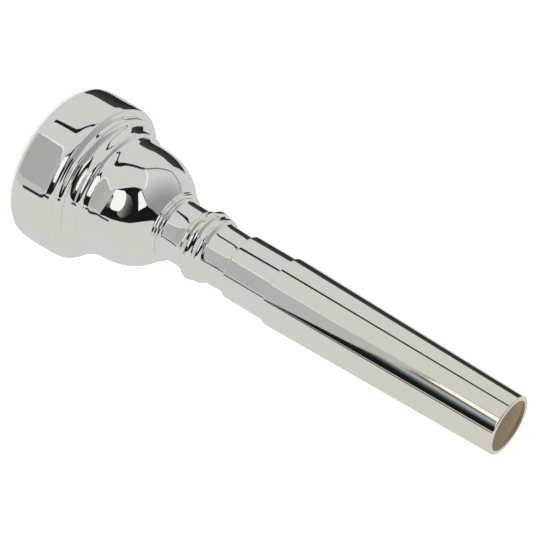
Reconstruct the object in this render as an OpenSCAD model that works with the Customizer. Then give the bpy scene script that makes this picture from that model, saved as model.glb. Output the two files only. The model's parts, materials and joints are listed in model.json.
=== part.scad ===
// Trumpet-size mouthpiece in separate turned pieces: a screw-on rim, a cup, a stem that
// screws into the cup and a shank sleeve that pulls off the stem.
// It stands on its rim. Z runs along the bore, from the rim's face to the shank's end.

/* [Overall] */
// Length from the rim's face to the shank's end
total_l = 87; // [85:0.5:90]
// Distance that one turn of a screwed joint travels
pitch = 1; // [0.9:0.05:1.1]
// Rings of thread on each screwed joint
thread_rings = 5; // [4:1:5]
// Radial gap between a male piece and the bore it enters
fit_gap = 0.05; // [0.03:0.01:0.08]

/* [Rim] */
// Radius of the rim's band at its shoulder
rim_r = 13.5; // [13.3:0.05:13.7]
// Radius of the opening that the lips meet
bite_r = 8.1; // [7.9:0.05:8.2]
// Radius of the crown's highest line
crown_r = 10.6; // [10.2:0.1:10.9]
// Height of the crown's rounding
crown_h = 1.5; // [1.3:0.1:1.6]
// Height where the band starts to curve in towards the face
barrel_z = 3; // [2.6:0.1:3.2]
// Height of the band's rear shoulder above the face
shoulder_z = 8.67; // [8.6:0.01:8.72]
// Radius of the ring behind the shoulder
ring_r = 12.2; // [12:0.05:12.4]
// Height of the seam between rim and cup
rim_seam_z = 9.87; // [9.84:0.01:9.95]

/* [Cup] */
// Radius of the cup's male thread
cup_thread_r = 10.2; // [10.1:0.05:10.3]
// Radius of the cup's edge at the seam
cove_r = 11.5; // [11.4:0.02:11.55]
// Radius of the land between the cove and the bowl
land_r = 10.88; // [10.86:0.01:10.9]
// Height where the land starts to round off
land_z = 11.3; // [11.25:0.05:11.35]
// Radius of the bowl where it is widest
bowl_r = 9.94; // [9.9:0.01:9.97]
// Height where the bowl starts to narrow
bowl_z = 14; // [13.9:0.05:14.1]
// Length from there to the tip that the bowl's curve would reach
bowl_l = 10.9; // [10.85:0.05:11]
// Fullness of the bowl's curve, where 2 is an ellipse
bowl_power = 2.46; // [2.42:0.01:2.5]
// Depth of the cup's hollow below the rim's seat
cup_depth = 10.3; // [9.8:0.1:10.6]
// Radius of the throat
throat_r = 1.83; // [1.75:0.01:1.95]
// Radius of the grooved collar at the cup's end
collar_r = 5.97; // [5.93:0.01:6]
// Height where the throat ends and the stem's bore starts
throat_end_z = 16.3; // [16:0.1:16.6]

/* [Stem] */
// Height of the seam between cup and stem
stem_seam_z = 23.94; // [23.9:0.01:23.98]
// Radius of the stem's male thread
stem_thread_r = 4.3; // [4.2:0.05:4.35]
// Radius of the neck at its waist
neck_r = 4.98; // [4.95:0.01:5.02]
// Radius of the larger bead
big_bead_r = 5.96; // [5.92:0.01:6]
// Radius of the smaller bead
small_bead_r = 5.58; // [5.5:0.01:5.65]
// Radius of the stem's shoulder, which runs up to the sleeve
shoulder_r = 5.37; // [5.3:0.01:5.45]
// Height where that shoulder starts
stem_shoulder_z = 36.95; // [36.7:0.05:37.2]

/* [Shank sleeve] */
// Height where the sleeve starts
sleeve_z = 45.1; // [44.8:0.1:45.4]
// Outer radius at the sleeve's thick end
sleeve_r = 5.77; // [5.7:0.01:5.9]
// Outer radius at the shank's end
shank_end_r = 4.91; // [4.85:0.01:4.95]
// Bore radius at the shank's end
bore_end_r = 4.2; // [4.1:0.02:4.24]
// Length of the stem's taper inside the sleeve
spigot_l = 18; // [16:0.5:19]

/* [Hidden] */
$fn = 96;

silver = [0.82, 0.81, 0.78];
seal_black = [0.09, 0.09, 0.1];

arc_steps = 10;
thread_depth = 0.45;
thread_flank = 0.3;
edge = 0.12;

rim_seat_z = 2.4;
rim_bore_r = cup_thread_r + fit_gap;
rim_thread_z = 3.1;
seal_t = 0.4;
rim_seal_r = rim_bore_r - seal_t - 0.01;
rim_seal_z = 8.8;
rim_groove_r = rim_seal_r - seal_t - 0.04;
rim_groove_half = seal_t + 0.05;

socket_r = stem_thread_r + fit_gap;
seal_pocket_r = 4.85;
stem_undercut_r = 4.1;
stem_seal_t = 0.34;
stem_seal_r = stem_undercut_r + stem_seal_t + 0.02;
stem_seal_z = stem_seam_z - 0.54;
stem_thread_z = 16.9;

spigot_r = 4.6;
spigot_tip_r = 4.25;
spigot_end_z = sleeve_z + spigot_l;

// Points of an elliptical arc about [cr, cz], from angle a0 to a1
function arc(cr, cz, rr, rz, a0, a1, n = arc_steps) =
    [for (i = [0:n]) let (a = a0 + (a1 - a0) * i / n) [cr + rr * cos(a), cz + rz * sin(a)]];

// Radius of the backbore, which opens fast at the throat and slowly at the shank's end
function backbore_r(z) =
    throat_r + (bore_end_r - throat_r) * pow((z - throat_end_z) / (total_l - throat_end_z), 0.85);

function backbore_pts(z0, z1, n) =
    [for (i = [0:n]) let (z = z0 + (z1 - z0) * i / n) [backbore_r(z), z]];

// Outer radius of the bowl
function bowl_outer_r(z) = bowl_r * sqrt(1 - pow((z - bowl_z) / bowl_l, bowl_power));

// Radius of the sleeve's outer taper
function shank_r(z) = sleeve_r + (shank_end_r - sleeve_r) * (z - sleeve_z) / (total_l - sleeve_z);

// Turns an outline of [radius, height] points about the bore
module turned(pts) {
    rotate_extrude()
        polygon(pts);
}

// Ring grooves of V section: outward from a bore, or inward from a male thread
module thread_grooves(r, z0, depth) {
    for (i = [0:thread_rings - 1]) {
        z = z0 + (i + 0.5) * pitch;
        turned([[r, z - thread_flank], [r + depth, z], [r, z + thread_flank]]);
    }
}

module rim() {
    barrel_r = 10;
    barrel_a = 8.5;
    band_r = rim_r - barrel_r * (1 - cos(barrel_a));
    shoulder_rr = 0.45;
    shoulder_rz = 0.75;
    ring_rr = 0.26;
    ring_rz = 0.42;
    outline = concat(
        [[rim_bore_r, rim_seat_z], [bite_r, rim_seat_z]],
        arc(crown_r, crown_h, crown_r - bite_r, crown_h, 180, 270),
        arc(crown_r, crown_h, band_r - crown_r, crown_h, 270, 355),
        arc(rim_r - barrel_r, barrel_z, barrel_r, barrel_r, -barrel_a, 0, 4),
        [[rim_r, shoulder_z - 1.8], [rim_r - 0.06, shoulder_z - 0.92]],
        arc(rim_r - 0.12 - shoulder_rr, shoulder_z - shoulder_rz, shoulder_rr, shoulder_rz, 20, 83, 6),
        [[ring_r + 0.2, shoulder_z + 0.1], [ring_r + 0.02, shoulder_z + 0.26]],
        [[ring_r - 0.02, shoulder_z + 0.6]],
        arc(ring_r - 0.03 - ring_rr, rim_seam_z - 0.1 - ring_rz, ring_rr, ring_rz, 17, 80, 5),
        [[cove_r + 0.03, rim_seam_z], [rim_bore_r + 0.2, rim_seam_z], [rim_bore_r, rim_seam_z - 0.2]]
    );
    color(silver)
    difference() {
        turned(outline);
        thread_grooves(rim_bore_r, rim_thread_z, thread_depth);
    }
}

module rim_seal() {
    color(seal_black)
    rotate_extrude()
        translate([rim_seal_r, rim_seal_z])
            circle(r = seal_t, $fn = 24);
}

module cup() {
    cove_rr = 1.17;
    cove_rz = 1.65;
    cove_c = [cove_r + cove_rr * cos(62), rim_seam_z + 0.02 + cove_rz * sin(62)];
    collar_z = stem_seam_z - 0.84;
    outside = concat(
        [[cup_thread_r - 0.4, rim_seat_z], [cup_thread_r, rim_seat_z + 0.4]],
        [[cup_thread_r, rim_seal_z - rim_groove_half], [rim_groove_r, rim_seal_z - rim_groove_half]],
        [[rim_groove_r, rim_seal_z + rim_groove_half], [cup_thread_r, rim_seal_z + rim_groove_half]],
        [[cup_thread_r, rim_seam_z + 0.02]],
        arc(cove_c[0], cove_c[1], cove_rr, cove_rz, 242, 184, 9),
        arc(land_r - 0.42, land_z, 0.42, 0.9, 0, 74, 9),
        arc(bowl_r + 0.44, land_z + 1.34, 0.3, 0.5, 251, 185, 5),
        [[bowl_r + 0.03, land_z + 1.74]],
        [for (z = [bowl_z:0.5:collar_z - 0.3]) [bowl_outer_r(z), z]],
        [[collar_r, collar_z], [collar_r - 0.05, collar_z + 0.28], [collar_r - 0.18, collar_z + 0.38]],
        [[collar_r - 0.07, collar_z + 0.51], [collar_r - 0.12, collar_z + 0.75]],
        [[collar_r - 0.19, stem_seam_z - 0.02]]
    );
    inside = concat(
        [[seal_pocket_r, stem_seam_z], [seal_pocket_r, stem_seam_z - 1.05]],
        [[socket_r, stem_seam_z - 1.05], [socket_r, throat_end_z], [throat_r, throat_end_z]],
        [[throat_r, rim_seat_z + cup_depth + 0.3]],
        arc(0, rim_seat_z, bite_r, cup_depth, 72, 0, 14)
    );
    color(silver)
    difference() {
        turned(concat(outside, inside));
        thread_grooves(cup_thread_r, rim_thread_z, -thread_depth);
        thread_grooves(socket_r, stem_thread_z, thread_depth);
    }
}

module stem() {
    ledge_r = 5.46;
    waist_z = 26.9;
    waist_in = 50;
    waist_out = 10;
    ridge_z = 28.3;
    big_z = 29.7;
    small_z = 31.38;
    neck_end_r = 4.8;
    shoulder_edge = 0.3;
    shoulder_c = [shoulder_r - shoulder_edge, stem_shoulder_z + shoulder_edge];
    outside = concat(
        [[stem_thread_r - 0.4, throat_end_z + 0.04], [stem_thread_r, throat_end_z + 0.44]],
        [[stem_thread_r, stem_seam_z - 1], [stem_undercut_r, stem_seam_z - 0.9]],
        [[stem_undercut_r, stem_seam_z], [ledge_r, stem_seam_z], [ledge_r - 0.05, stem_seam_z + 0.27]],
        [[ledge_r - 0.15, stem_seam_z + 0.33], [neck_r + 0.1, stem_seam_z + 0.38]],
        arc(neck_r + waist_in, waist_z, waist_in, waist_in, 182.8, 180.5, 3),
        arc(neck_r + waist_out, waist_z, waist_out, waist_out, 180, 174.8, 4),
        [[neck_r + 0.11, ridge_z - 0.22], [neck_r + 0.24, ridge_z - 0.06]],
        [[neck_r + 0.27, ridge_z + 0.04], [neck_r + 0.22, ridge_z + 0.25]],
        [[neck_r + 0.25, ridge_z + 0.38], [big_bead_r - 0.12, big_z - 0.25]],
        [[big_bead_r - 0.01, big_z - 0.1], [big_bead_r, big_z], [big_bead_r - 0.05, big_z + 0.33]],
        [[big_bead_r - 0.11, big_z + 0.48], [big_bead_r - 0.27, big_z + 0.73]],
        [[small_bead_r - 0.08, big_z + 0.92], [small_bead_r - 0.13, big_z + 1.06]],
        [[small_bead_r - 0.14, big_z + 1.18], [small_bead_r - 0.05, small_z - 0.2]],
        [[small_bead_r, small_z], [small_bead_r - 0.09, small_z + 0.48]],
        [[small_bead_r - 0.22, small_z + 0.64], [neck_r + 0.1, small_z + 0.78]],
        [[neck_r, small_z + 0.95], [neck_r - 0.04, small_z + 1.5]],
        [[neck_end_r + 0.01, stem_shoulder_z - 0.9], [neck_end_r, stem_shoulder_z]],
        arc(shoulder_c[0], shoulder_c[1], shoulder_edge, shoulder_edge, -80, 0, 5),
        [[shoulder_r, sleeve_z], [spigot_r, sleeve_z], [spigot_tip_r, spigot_end_z]]
    );
    bore = backbore_pts(spigot_end_z, throat_end_z + 0.04, 20);
    color(silver)
    difference() {
        turned(concat(outside, bore));
        thread_grooves(stem_thread_r, stem_thread_z, -thread_depth);
    }
}

module stem_seal() {
    color(seal_black)
    rotate_extrude()
        translate([stem_seal_r, stem_seal_z])
            circle(r = stem_seal_t, $fn = 24);
}

module shank_sleeve() {
    outside = [
        [spigot_r, sleeve_z],
        [sleeve_r - edge, sleeve_z],
        [sleeve_r, sleeve_z + edge],
        [shank_r(total_l - edge), total_l - edge],
        [shank_r(total_l) - edge, total_l]
    ];
    bore = backbore_pts(total_l, spigot_end_z, 10);
    color(silver)
    turned(concat(outside, bore, [[spigot_tip_r, spigot_end_z]]));
}

rim();
rim_seal();
cup();
stem();
stem_seal();
shank_sleeve();
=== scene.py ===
"""Looks for the mouthpiece: plated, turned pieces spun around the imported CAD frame, in metres.

Every metal piece is spun again from the section of its own CAD node, with smooth curves, polished
edges and real helical threads. A tent of light cards gives the plating something to reflect.
"""

import json
import math

import bmesh
import bpy
import numpy as np
from mathutils import Matrix, Vector


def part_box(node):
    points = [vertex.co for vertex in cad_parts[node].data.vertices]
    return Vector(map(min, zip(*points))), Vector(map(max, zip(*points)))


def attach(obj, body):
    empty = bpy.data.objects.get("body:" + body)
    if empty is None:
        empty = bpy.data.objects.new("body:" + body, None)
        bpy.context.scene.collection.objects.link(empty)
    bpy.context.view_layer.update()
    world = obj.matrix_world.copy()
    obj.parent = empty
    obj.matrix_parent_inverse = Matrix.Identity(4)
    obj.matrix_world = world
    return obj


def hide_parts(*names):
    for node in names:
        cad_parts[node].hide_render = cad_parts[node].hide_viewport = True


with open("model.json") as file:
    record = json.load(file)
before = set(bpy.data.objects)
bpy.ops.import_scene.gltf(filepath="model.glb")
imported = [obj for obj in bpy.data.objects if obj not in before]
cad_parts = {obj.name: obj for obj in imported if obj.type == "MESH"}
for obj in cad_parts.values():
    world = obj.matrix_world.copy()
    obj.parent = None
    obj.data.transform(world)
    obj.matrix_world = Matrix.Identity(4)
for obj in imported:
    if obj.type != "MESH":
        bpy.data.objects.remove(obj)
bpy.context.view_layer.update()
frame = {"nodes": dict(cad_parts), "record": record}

MM = 0.001

# Turned pieces
SEGMENTS = 288  # steps round a turned piece
SAME_POINT = 0.006 * MM  # section points closer than this are one point
SHARP = math.radians(33)  # a corner that turns more than this is an edge, not part of a curve
STRAIGHT = math.radians(0.05)  # a point that turns less than this is on a straight side
LONG_RUN = 2.5  # a side this much longer than its neighbour is straight, not part of its curve
FINE_STEP = 0.01 * MM
EDGE_BLUR = 0.05 * MM  # how far polishing softens an edge
TURN_STEP = math.radians(5)  # most that the outline turns from one ring to the next
MIN_STEP = 0.02 * MM
MAX_STEP = 1.0 * MM
STEP_GROWTH = 0.3

# Screw threads, right-handed, as in the CAD model
PITCH = 1.0 * MM
THREAD_DEPTH = 0.45 * MM
GROOVE_HALF = 0.3 * MM
THREAD_LENGTH = 5 * PITCH
RUNOUT = 0.6 * PITCH
THREAD_STEP = 0.07 * MM
RIM_THREAD_Z = 3.1 * MM
STEM_THREAD_Z = 16.9 * MM
CUP_THREAD_R = 10.2 * MM
STEM_THREAD_R = 4.3 * MM
FIT_GAP = 0.05 * MM

PLATED_LIP = 0.55 * MM  # how far the plating reaches into the shank's end

# Camera
CAMERA_AT = Vector((0, -331.6, 192.87)) * MM
LOOK_AT = Vector((-1.84, 0, 41.33)) * MM
CAMERA_ROLL = math.radians(120.6)
LENS = 158.2
NEAREST, FARTHEST = 0.01, 20  # the range of distances that the camera sees

# Seal rings
SEAL_STEPS = 48  # steps round a seal's section
FLASH_HEIGHT = 0.03  # the flash line's height, as a share of the section's radius
FLASH_SPAN = 0.985  # the flash line runs where the section's angle has a cosine beyond this

# Tent of light cards round the middle of the part
TENT_CENTRE = Vector((0, 0, 45)) * MM
TENT_R = 1.2
CARD_GAP = 0.012  # each card hangs this much nearer than the one before it
CLOTH_SEGMENTS = 72, 36  # the cloth's steps round the tent and from bottom to top
CLOTH_LEVEL = 210
SHADE = 148  # level of the darkest cloth, high on the left
SHADE_FROM, SHADE_TO = -130, -12  # azimuths of that shaded cloth
SHADE_START, SHADE_END = 16, 55  # elevations over which it darkens

# Floor and lights
FLOOR_SIZE = 6
FLOOR_GLOW = 0.55
SKY_STRENGTH = 0.7
LAMP_AT = Vector((0.15, -0.2, 0.9))
LAMP_SIZE = 0.9
LAMP_POWER = 6
TINTS = {"paper": (1.0, 0.985, 0.95), "sky": (0.82, 0.93, 1.0), "earth": (1.0, 0.91, 0.75)}

# ---------------------------------------------------------------- sections


def section(node):
    """The closed outline of a turned CAD node: (radius, height) points, counter-clockwise."""
    bm = bmesh.new()
    bm.from_mesh(frame["nodes"][node].data)
    for v in bm.verts:
        v.co = (math.hypot(v.co.x, v.co.y), 0, v.co.z)
    bmesh.ops.remove_doubles(bm, verts=bm.verts, dist=SAME_POINT)
    last, here = None, min(bm.verts, key=lambda v: (v.co.z, v.co.x))
    start, points = here, []
    while not points or here is not start:
        points.append((here.co.x, here.co.z))
        others = {e.other_vert(here) for e in here.link_edges} - {last}
        last, here = here, min(others, key=lambda v: (v.co - here.co).length)
    bm.free()
    points = np.array(points)
    r, z = points.T
    area = np.sum(r * np.roll(z, -1) - np.roll(r, -1) * z)
    return points if area > 0 else points[::-1]


def without_ring_grooves(points, crest, z0):
    """The outline with the CAD's ring grooves filled, because the spun piece has a helix there."""
    off = np.abs(points[:, 0] - crest)
    inside = (points[:, 1] > z0) & (points[:, 1] < z0 + THREAD_LENGTH)
    groove = inside & (off > SAME_POINT) & (off < THREAD_DEPTH + SAME_POINT)
    return points[~groove]


def turns(points):
    """How far a closed outline turns at each of its points, in radians."""
    d = np.roll(points, -1, 0) - points
    heading = np.arctan2(d[:, 1], d[:, 0])
    return (heading - np.roll(heading, 1) + math.pi) % (2 * math.pi) - math.pi


def headings(points):
    """Unit directions at which the outline leaves and reaches its points, true to arcs and lines.

    At an edge each side keeps its own direction. Elsewhere both sides share one, which is the
    longer side's own where that side is straight, and otherwise that of the circle through the
    point and its neighbours.
    """
    ahead = np.roll(points, -1, 0) - points
    size = np.hypot(*ahead.T)
    ahead = ahead / size[:, None]
    behind, size_behind = np.roll(ahead, 1, 0), np.roll(size, 1)
    shared = behind * size[:, None] + ahead * size_behind[:, None]
    shared[size > LONG_RUN * size_behind] = ahead[size > LONG_RUN * size_behind]
    shared[size_behind > LONG_RUN * size] = behind[size_behind > LONG_RUN * size]
    shared /= np.hypot(*shared.T)[:, None]
    edge = (np.abs(turns(points)) > SHARP)[:, None]
    return np.where(edge, ahead, shared), np.where(edge, behind, shared)


def smooth_curve(points):
    """The outline as a fine run of points: arcs round again, straight sides straight."""
    points = points[np.abs(turns(points)) > STRAIGHT]
    leave, reach = headings(points)
    out = []
    for i, p in enumerate(points):
        j = (i + 1) % len(points)
        q = points[j]
        size = float(np.hypot(*(q - p)))
        t = np.arange(0, 1, FINE_STEP / size)[:, None]
        pull = size * leave[i], size * reach[j]
        out.append(
            (2 * t**3 - 3 * t**2 + 1) * p + (t**3 - 2 * t**2 + t) * pull[0]
            + (3 * t**2 - 2 * t**3) * q + (t**3 - t**2) * pull[1]
        )
    return np.concatenate(out)


def polished(points):
    """The fine outline with its edges softened, at an even step."""
    closed = np.vstack([points, points[:1]])
    run = np.concatenate([[0], np.cumsum(np.hypot(*np.diff(closed, axis=0).T))])
    even = np.arange(0, run[-1], FINE_STEP)
    fine = np.stack([np.interp(even, run, closed[:, k]) for k in (0, 1)], 1)
    reach = int(4 * EDGE_BLUR / FINE_STEP)
    weight = np.exp(-0.5 * (np.arange(-reach, reach + 1) * FINE_STEP / EDGE_BLUR) ** 2)
    weight /= weight.sum()
    return sum(w * np.roll(fine, k - reach, 0) for k, w in enumerate(weight))


def thinned(points, steps_at):
    """Keeps few points on straight stretches and many on tight ones. steps_at caps the step."""
    n = len(points)
    bend = np.abs(turns(points)) / FINE_STEP
    step = np.clip(TURN_STEP / np.maximum(bend, 1e-9), MIN_STEP, MAX_STEP)
    step = np.minimum(step, steps_at(points))
    for order in (range(1, 2 * n), range(2 * n - 2, -1, -1)):
        before = -1 if order.step > 0 else 1
        for i in order:
            step[i % n] = min(step[i % n], step[(i + before) % n] + STEP_GROWTH * FINE_STEP)
    keep, gone = [0], 0.0
    for i in range(1, n):
        gone += FINE_STEP
        if gone >= step[i]:
            keep.append(i)
            gone = 0.0
    return points[keep]


# ---------------------------------------------------------------- spinning


def helix(r, z, angle, crest, z0):
    """How much deeper a V thread's groove makes the surface at each (height, angle)."""
    phase = (z - z0) / PITCH - angle / (2 * math.pi)
    off = np.abs(phase - np.floor(phase) - 0.5) * PITCH
    cut = 0.5 + 0.5 * np.cos(math.pi * np.clip(off / GROOVE_HALF, 0, 1))
    fade = np.clip(np.minimum(z - z0, z0 + THREAD_LENGTH - z) / RUNOUT, 0, 1)
    on_crest = np.abs(r - crest) < SAME_POINT
    return np.where(on_crest, THREAD_DEPTH * cut * fade, 0)


def spin(name, outline, threads=()):
    """A mesh object from an outline turned about Z. Each thread is (crest radius, start, side)."""
    rings = len(outline)
    angle = np.arange(SEGMENTS) * 2 * math.pi / SEGMENTS
    r = np.repeat(outline[:, 0], SEGMENTS)
    z = np.repeat(outline[:, 1], SEGMENTS)
    a = np.tile(angle, rings)
    cut = sum((side * helix(r, z, a, crest, z0) for crest, z0, side in threads), np.zeros_like(r))
    r = r + cut
    co = np.stack([r * np.cos(a), r * np.sin(a), z], 1)
    i, j = np.meshgrid(np.arange(rings), np.arange(SEGMENTS), indexing="ij")
    i2, j2 = (i + 1) % rings, (j + 1) % SEGMENTS
    here, above = i * SEGMENTS, i2 * SEGMENTS
    faces = np.stack([here + j, here + j2, above + j2, above + j], -1)
    mesh = bpy.data.meshes.new(name)
    mesh.from_pydata(co, [], faces.reshape(-1, 4).tolist())
    mesh.polygons.foreach_set("use_smooth", np.ones(len(mesh.polygons), bool))
    mesh.update()
    piece = bpy.data.objects.new(name, mesh)
    bpy.context.scene.collection.objects.link(piece)
    return piece


def turned(name, node, threads=()):
    """The detailed piece that stands for a turned CAD node, its grooves made into helices."""
    points = section(node)
    for crest, z0, _ in threads:
        points = without_ring_grooves(points, crest, z0)

    def steps_at(fine):
        cap = np.full(len(fine), MAX_STEP)
        for crest, z0, _ in threads:
            near = (np.abs(fine[:, 0] - crest) < SAME_POINT) & (fine[:, 1] > z0)
            cap[near & (fine[:, 1] < z0 + THREAD_LENGTH)] = THREAD_STEP
        return cap

    return spin(name, thinned(polished(smooth_curve(points)), steps_at), threads)


def settle(piece, node, slot, *materials):
    """Puts a piece in a CAD node's place, on its body, with its finish."""
    for m in materials:
        piece.data.materials.append(m)
    body = next(b for b, nodes in frame["record"]["behaviour"]["bodies"].items() if node in nodes)
    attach(piece, body)
    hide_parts(node)
    return piece


# ---------------------------------------------------------------- materials


class Nodes:
    """A material and short ways to add nodes to it."""

    def __init__(self, name):
        self.material = bpy.data.materials.new(name)
        self.material.use_nodes = True
        self.tree = self.material.node_tree
        self.shader = self.tree.nodes["Principled BSDF"]

    def add(self, kind, inputs=None, **settings):
        node = self.tree.nodes.new(kind)
        for key, value in settings.items():
            setattr(node, key, value)
        for key, value in (inputs or {}).items():
            if isinstance(value, bpy.types.NodeSocket):
                self.tree.links.new(value, node.inputs[key])
            else:
                node.inputs[key].default_value = value
        return node

    def set(self, **inputs):
        for key, value in inputs.items():
            socket = self.shader.inputs[key.replace("_", " ")]
            if isinstance(value, bpy.types.NodeSocket):
                self.tree.links.new(value, socket)
            else:
                socket.default_value = value

    def place(self):
        """Where a point is in the piece, in metres."""
        return self.add("ShaderNodeTexCoord").outputs["Object"]

    def lathe(self):
        """Coordinates that change along and across the bore but hardly round it."""
        split = self.add("ShaderNodeSeparateXYZ", {0: self.place()})
        x, y, z = (split.outputs[k] for k in "XYZ")
        across = self.add("ShaderNodeCombineXYZ", {0: x, 1: y}).outputs[0]
        size = self.add("ShaderNodeVectorMath", {0: across}, operation="LENGTH")
        radius = size.outputs["Value"]
        return self.add("ShaderNodeCombineXYZ", {0: radius, 1: z}).outputs[0]

    def noise(self, vector, size, detail=2.0, roughness=0.5):
        """Noise whose grain is about size metres across."""
        inputs = {"Vector": vector, "Scale": 1 / size, "Detail": detail, "Roughness": roughness}
        return self.add("ShaderNodeTexNoise", inputs).outputs["Fac"]

    def ramp(self, value, low, high, low_at=0.0, high_at=1.0):
        """Takes value from low to high as it goes from low_at to high_at."""
        source = {"Value": value, "From Min": low_at, "From Max": high_at}
        node = self.add("ShaderNodeMapRange", {**source, "To Min": low, "To Max": high})
        return node.outputs["Result"]

    def mix(self, amount, a, b):
        """Mixes two colours, each an RGB value or another mix."""
        node = self.add("ShaderNodeMix", data_type="RGBA")
        self.tree.links.new(amount, node.inputs["Factor"])
        for key, colour in (("A", a), ("B", b)):
            if isinstance(colour, bpy.types.NodeSocket):
                self.tree.links.new(colour, node.inputs[key])
            else:
                node.inputs[key].default_value = (*colour, 1)
        return node.outputs["Result"]

    def bump(self, *layers):
        """Chains bump layers, each a height and how deep it is in metres."""
        normal = None
        for height, depth in layers:
            inputs = {"Height": height, "Distance": depth, "Strength": 1.0}
            if normal:
                inputs["Normal"] = normal
            normal = self.add("ShaderNodeBump", inputs).outputs["Normal"]
        self.set(Normal=normal)


def silver_plate():
    """Bright silver plating over lathe-turned brass: buffed, with faint turning marks and haze."""
    n = Nodes("silver_plate")
    haze = n.noise(n.place(), 6 * MM, detail=4)
    smear = n.noise(n.place(), 0.8 * MM, detail=3, roughness=0.7)
    turning = n.noise(n.lathe(), 0.09 * MM, detail=3, roughness=0.6)
    wave = n.noise(n.place(), 5 * MM, detail=1)
    buffed = n.ramp(haze, 0.025, 0.055, 0.35, 0.7)
    smears = n.ramp(smear, -0.008, 0.018, 0.4, 0.75)
    height = n.add("ShaderNodeSeparateXYZ", {0: n.place()}).outputs["Z"]
    clean = n.mix(haze, (0.975, 0.965, 0.94), (0.96, 0.945, 0.91))
    ivory = n.mix(haze, (0.97, 0.95, 0.885), (0.955, 0.93, 0.84))
    n.set(
        Base_Color=n.mix(n.ramp(height, 0, 1, 45 * MM, 80 * MM), clean, ivory),
        Metallic=1.0,
        Roughness=n.add("ShaderNodeMath", {0: buffed, 1: smears}, operation="ADD").outputs[0],
    )
    n.bump((wave, 0.002 * MM), (turning, 0.00008 * MM))
    return n.material


def bore_brass():
    """The duller, unplated bore: warm brass with reamer rings and stains."""
    n = Nodes("bore_brass")
    stain = n.noise(n.place(), 2.5 * MM, detail=5, roughness=0.65)
    rings = n.noise(n.lathe(), 0.2 * MM, detail=4, roughness=0.6)
    n.set(
        Base_Color=n.mix(stain, (0.66, 0.57, 0.43), (0.52, 0.43, 0.29)),
        Metallic=0.35,
        Roughness=n.ramp(stain, 0.35, 0.55, 0.3, 0.7),
    )
    n.bump((rings, 0.002 * MM))
    return n.material


def nitrile():
    """Black O-ring rubber with a fine moulded grain."""
    n = Nodes("nitrile")
    grain = n.noise(n.place(), 0.06 * MM, detail=3)
    bloom = n.noise(n.place(), 1.5 * MM, detail=3)
    n.set(
        Base_Color=n.mix(bloom, (0.012, 0.012, 0.013), (0.03, 0.03, 0.03)),
        Roughness=n.ramp(bloom, 0.42, 0.6, 0.3, 0.7),
    )
    n.bump((grain, 0.004 * MM))
    return n.material


# ---------------------------------------------------------------- the object


def sleeve(plate, brass):
    """The shank sleeve, plated outside and a short way into its end."""
    piece = turned("shank_sleeve_turned", "shank_sleeve")
    settle(piece, "shank_sleeve", "silver_plate", plate, brass)
    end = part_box("shank_sleeve")[1].z
    for face in piece.data.polygons:
        out = Vector((face.normal.x, face.normal.y)).dot(Vector((face.center.x, face.center.y)))
        face.material_index = int(out < 0 and face.center.z < end - PLATED_LIP)


def o_ring(name, node, rubber):
    """A round-section seal, with the flash line that its mould leaves."""
    low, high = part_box(node)
    tube = (high.z - low.z) / 2
    a = np.arange(SEAL_STEPS) * 2 * math.pi / SEAL_STEPS
    radius = tube * (1 - FLASH_HEIGHT * (np.abs(np.cos(a)) < FLASH_SPAN))
    outline = np.stack([high.x - tube + radius * np.cos(a), low.z + tube + radius * np.sin(a)], 1)
    return settle(spin(name, outline), node, "seal_rubber", rubber)


def mouthpiece():
    """All six pieces, each on its own body."""
    plate, brass, rubber = silver_plate(), bore_brass(), nitrile()
    male, female = -1, 1
    rim = turned("rim_turned", "rim", [(CUP_THREAD_R + FIT_GAP, RIM_THREAD_Z, female)])
    settle(rim, "rim", "silver_plate", plate)
    cup = turned("cup_turned", "cup", [
        (CUP_THREAD_R, RIM_THREAD_Z, male),
        (STEM_THREAD_R + FIT_GAP, STEM_THREAD_Z, female),
    ])
    settle(cup, "cup", "silver_plate", plate)
    stem = turned("stem_turned", "stem", [(STEM_THREAD_R, STEM_THREAD_Z, male)])
    settle(stem, "stem", "silver_plate", plate)
    sleeve(plate, brass)
    o_ring("rim_o_ring", "rim_seal", rubber)
    o_ring("stem_o_ring", "stem_seal", rubber)


# ---------------------------------------------------------------- stage


def glow_material(name, tint):
    """Tinted light of the brightness that the mesh's glow attribute gives."""
    n = Nodes(name)
    glow = n.add("ShaderNodeAttribute", attribute_name="glow").outputs["Fac"]
    shine = n.add("ShaderNodeEmission", {"Color": (*tint, 1), "Strength": glow})
    out = n.tree.nodes["Material Output"]
    n.tree.links.new(shine.outputs[0], out.inputs["Surface"])
    return n.material


def grey(level):
    """Linear brightness of a 0 to 255 screen level."""
    s = level / 255
    return s / 12.92 if s <= 0.04045 else ((s + 0.055) / 1.055) ** 2.4


def tent_point(azimuth, elevation, radius):
    """A point of the tent. Azimuth 0 is -Y, where the camera stands, and 90 is +X."""
    a, e = math.radians(azimuth), math.radians(elevation)
    return TENT_CENTRE + radius * Vector(
        (math.sin(a) * math.cos(e), -math.cos(a) * math.cos(e), math.sin(e))
    )


def hang(name, bm, level, radius, material):
    """Bends a flat sheet drawn in (azimuth, elevation) degrees onto the tent, as light only."""
    layer = bm.verts.layers.float.new("glow")
    for v in bm.verts:
        v[layer] = grey(level(v.co.x, v.co.y))
        v.co = tent_point(v.co.x, v.co.y, radius)
    mesh = bpy.data.meshes.new(name)
    bm.to_mesh(mesh)
    bm.free()
    mesh.materials.append(material)
    card = bpy.data.objects.new(name, mesh)
    bpy.context.scene.collection.objects.link(card)
    card.visible_camera = False
    card.visible_diffuse = False
    card.visible_shadow = False


def sheet(corners, cuts):
    """A flat polygon cut finely enough to bend."""
    bm = bmesh.new()
    bm.faces.new([bm.verts.new((x, y, 0)) for x, y in corners])
    bmesh.ops.triangulate(bm, faces=bm.faces)
    bmesh.ops.subdivide_edges(bm, edges=bm.edges, cuts=cuts, use_grid_fill=True)
    return bm


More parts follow.
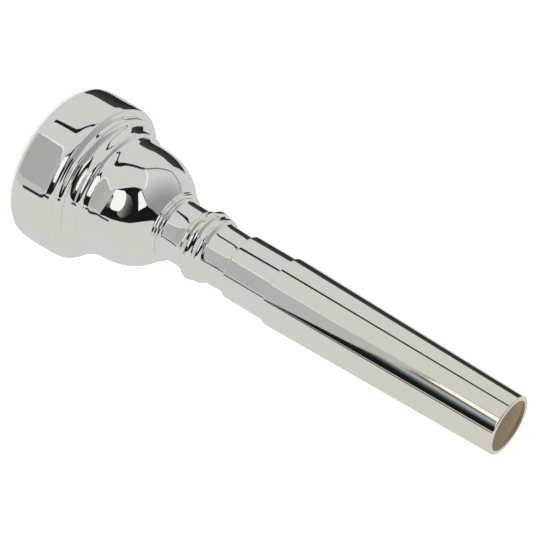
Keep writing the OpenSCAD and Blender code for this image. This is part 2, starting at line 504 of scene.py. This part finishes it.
def strip(points, width):
    """A ribbon along a line of (azimuth, elevation) points."""
    bm = bmesh.new()
    last = None
    for k, (x, y) in enumerate(points):
        x0, y0 = points[max(k - 1, 0)]
        x1, y1 = points[min(k + 1, len(points) - 1)]
        dx, dy = x1 - x0, y1 - y0
        size = math.hypot(dx, dy)
        nx, ny = -dy / size * width / 2, dx / size * width / 2
        pair = [bm.verts.new((x + nx, y + ny, 0)), bm.verts.new((x - nx, y - ny, 0))]
        if last:
            bm.faces.new([last[0], last[1], pair[1], pair[0]])
        last = pair
    return bm


def between(a, b, low, high, axis):
    """A level that goes from low to high as the azimuth (axis 0) or elevation (1) goes a to b."""

    def level(*at):
        t = min(max((at[axis] - a) / (b - a), 0), 1)
        return low + (high - low) * t

    return level


def peak(at, width, low, high):
    """A level that is high at one azimuth and falls off to low on both sides of it."""

    def level(azimuth, elevation):
        return low + (high - low) * math.exp(-(((azimuth - at) / width) ** 2))

    return level


def flat(level):
    """The same level everywhere."""
    return lambda *at: level


def tent():
    """A white cloth tent with two windows, dark openings, seams and a grey panel in front."""
    glow = {tint: glow_material("tent_light_" + tint, colour) for tint, colour in TINTS.items()}
    dome = bmesh.new()
    around, upward = CLOTH_SEGMENTS
    bmesh.ops.create_grid(dome, x_segments=around, y_segments=upward, size=1)
    for v in dome.verts:
        v.co = (v.co.x * 180, v.co.y * 90, 0)
    hang("tent_cloth", dome, cloth_level, TENT_R + CARD_GAP, glow["paper"])
    for k, (name, tint, level, shape) in enumerate(cards()):
        hang("card_" + name, shape, level, TENT_R - k * CARD_GAP, glow[tint])


def cloth_level(azimuth, elevation):
    """Brightness of the tent's cloth: greyer high on the left."""
    if SHADE_FROM < azimuth < SHADE_TO and elevation > SHADE_START:
        return between(SHADE_START, SHADE_END, CLOTH_LEVEL, SHADE, 1)(azimuth, elevation)
    return CLOTH_LEVEL


def cards():
    """Every card's name, tint, level and sheet, from the farthest to the nearest."""
    flag = [
        (-143, -5), (-135, -3.6), (-120, -2), (-116, -7), (-116, -23), (-113, -26), (-120, -40),
        (-155, -38), (-147, -24),
    ]
    seam_far = [
        (-124, 33), (-119, 26), (-115.7, 20), (-111, 13.5), (-107, 9.5), (-98, 6.6), (-90, 4.6),
        (-83, 1.8), (-77, 0), (-71.8, -1.6), (-67.5, -4), (-64.8, -6.2),
    ]
    seam_near = [
        (-64.8, -6.2), (-62.5, -9), (-60.7, -12.4), (-59, -16.5), (-57, -20.6), (-55.5, -22.5),
        (-54.5, -24.5), (-53, -26), (-50.5, -27.5), (-46, -29.3), (-43, -31.2), (-43, -38),
    ]
    white_seam = [(-36, 22), (-41.3, 19.6), (-55.5, 9.5), (-64.5, -3)]
    panel = [
        (-4.4, -16), (9, -16.6), (18, -17.4), (31, -18.8), (44, -21.2), (45, -26), (47, -30),
        (50, -40), (45, -50), (-18, -50), (-16.5, -32), (-9.5, -28), (-3, -24.5), (0.5, -21.5),
        (0, -19),
    ]
    panel_edge = [(-0.5, -19), (0, -21.5), (-3.6, -24.8), (-10, -28.4), (-16.5, -32), (-17.5, -44)]
    rail = [
        (44, -21.2), (52, -21), (52, -25), (57.5, -30.5), (62, -40), (60, -50), (45, -50),
        (50, -40), (47, -30), (45, -26),
    ]
    sill = [
        (51, -8), (51.5, -15), (52, -21), (52.2, -25), (54.5, -28), (57.5, -30.5), (60, -34),
    ]
    opening = [
        (-4.4, -16), (9, -16.6), (18, -17.4), (31, -18.8), (44, -21.2), (50, -22.2), (48.7, -19.7),
        (46.6, -15), (46.3, -7), (44, 9), (42.5, 31), (37, 50), (34, 66), (34, 80), (-15, 80),
        (-15, 66), (-12, 52), (-22, 36), (-31.5, 18.6), (-25, 5.4), (-15, -5.2),
    ]
    room = [(-8, 2), (-7, 12), (5, 25), (24, 27), (37, 12), (33, 3), (27, 1), (10, 6)]
    high_window = [
        (-29, 19.6), (-22.5, 32), (-13.5, 48), (-6, 47), (10.5, 39), (-5, 31.6), (-21, 18.8),
    ]
    low_window = [
        (-4.4, -15.6), (-10, -3), (-7, 2), (0, 6), (10, 9), (21, 8), (27.5, 3), (29.8, -8),
        (28, -12), (20, -13), (10, -13.6), (6, -16.3),
    ]
    low_glow = [(5, -16.3), (8, -13.3), (28, -12.4), (32, -15), (30, -18.4), (18, -17.3)]
    return [
        ("flag_edge", "paper", flat(125), strip(flag + flag[:1], 1.6)),
        ("flag", "paper", between(-145, -116, 38, 66, 0), sheet(flag, 6)),
        ("seam_far", "paper", between(-120, -65, 140, 88, 0), strip(seam_far, 2.6)),
        ("seam_near", "paper", between(-66, -60, 70, 30, 0), strip(seam_near, 5)),
        ("white_seam", "paper", flat(245), strip(white_seam, 2)),
        ("panel", "paper", between(-32, -18, 172, 186, 1), sheet(panel, 6)),
        ("panel_edge", "paper", flat(238), strip(panel_edge, 1.6)),
        ("rail", "paper", flat(196), sheet(rail, 4)),
        ("sill", "paper", flat(45), strip(sill, 3.4)),
        ("opening", "paper", flat(26), sheet(opening, 8)),
        ("room", "earth", between(5, 26, 145, 38, 1), sheet(room, 5)),
        ("high_window", "paper", flat(250), sheet(high_window, 4)),
        ("low_window", "paper", flat(252), sheet(low_window, 4)),
        ("low_glow", "sky", peak(17, 8, 60, 180), sheet(low_glow, 8)),
    ]


def floor():
    """A plain pale floor, bright enough to wash out all but the closest shadow."""
    n = Nodes("floor_paper")
    grain = n.noise(n.place(), 4 * MM, detail=3)
    n.set(
        Base_Color=n.mix(grain, (0.8, 0.8, 0.8), (0.78, 0.78, 0.78)),
        Roughness=0.9,
        Emission_Color=(1, 1, 1, 1),
        Emission_Strength=FLOOR_GLOW,
    )
    bpy.ops.mesh.primitive_plane_add(size=FLOOR_SIZE)
    plane = bpy.context.object
    plane.name = "floor"
    plane.data.materials.append(n.material)
    plane.visible_glossy = False


def lights():
    """White surroundings and one large soft lamp overhead."""
    world = bpy.data.worlds.new("studio")
    world.use_nodes = True
    sky = world.node_tree.nodes["Background"]
    sky.inputs["Color"].default_value = (1, 1, 1, 1)
    sky.inputs["Strength"].default_value = SKY_STRENGTH
    bpy.context.scene.world = world
    lamp = bpy.data.lights.new("softbox", "AREA")
    lamp.size = LAMP_SIZE
    lamp.energy = LAMP_POWER
    box = bpy.data.objects.new("softbox", lamp)
    box.location = LAMP_AT
    box.rotation_euler = (-LAMP_AT).to_track_quat("-Z", "Y").to_euler()
    box.visible_glossy = False
    bpy.context.scene.collection.objects.link(box)


def camera():
    """A long lens that looks down on the part, rolled so that the shank points down and right."""
    data = bpy.data.cameras.new("camera")
    data.lens = LENS
    data.clip_start, data.clip_end = NEAREST, FARTHEST
    ahead = (LOOK_AT - CAMERA_AT).normalized()
    side = ahead.cross(Vector((0, 0, 1))).normalized()
    above = side.cross(ahead)
    up = above * math.cos(CAMERA_ROLL) - side * math.sin(CAMERA_ROLL)
    turn = Matrix((ahead.cross(up), up, -ahead)).transposed()
    cam = bpy.data.objects.new("camera", data)
    cam.matrix_world = Matrix.Translation(CAMERA_AT) @ turn.to_4x4()
    bpy.context.scene.collection.objects.link(cam)
    bpy.context.scene.camera = cam


camera()
mouthpiece()
tent()
floor()
lights()
bpy.context.scene.view_settings.view_transform = "Standard"
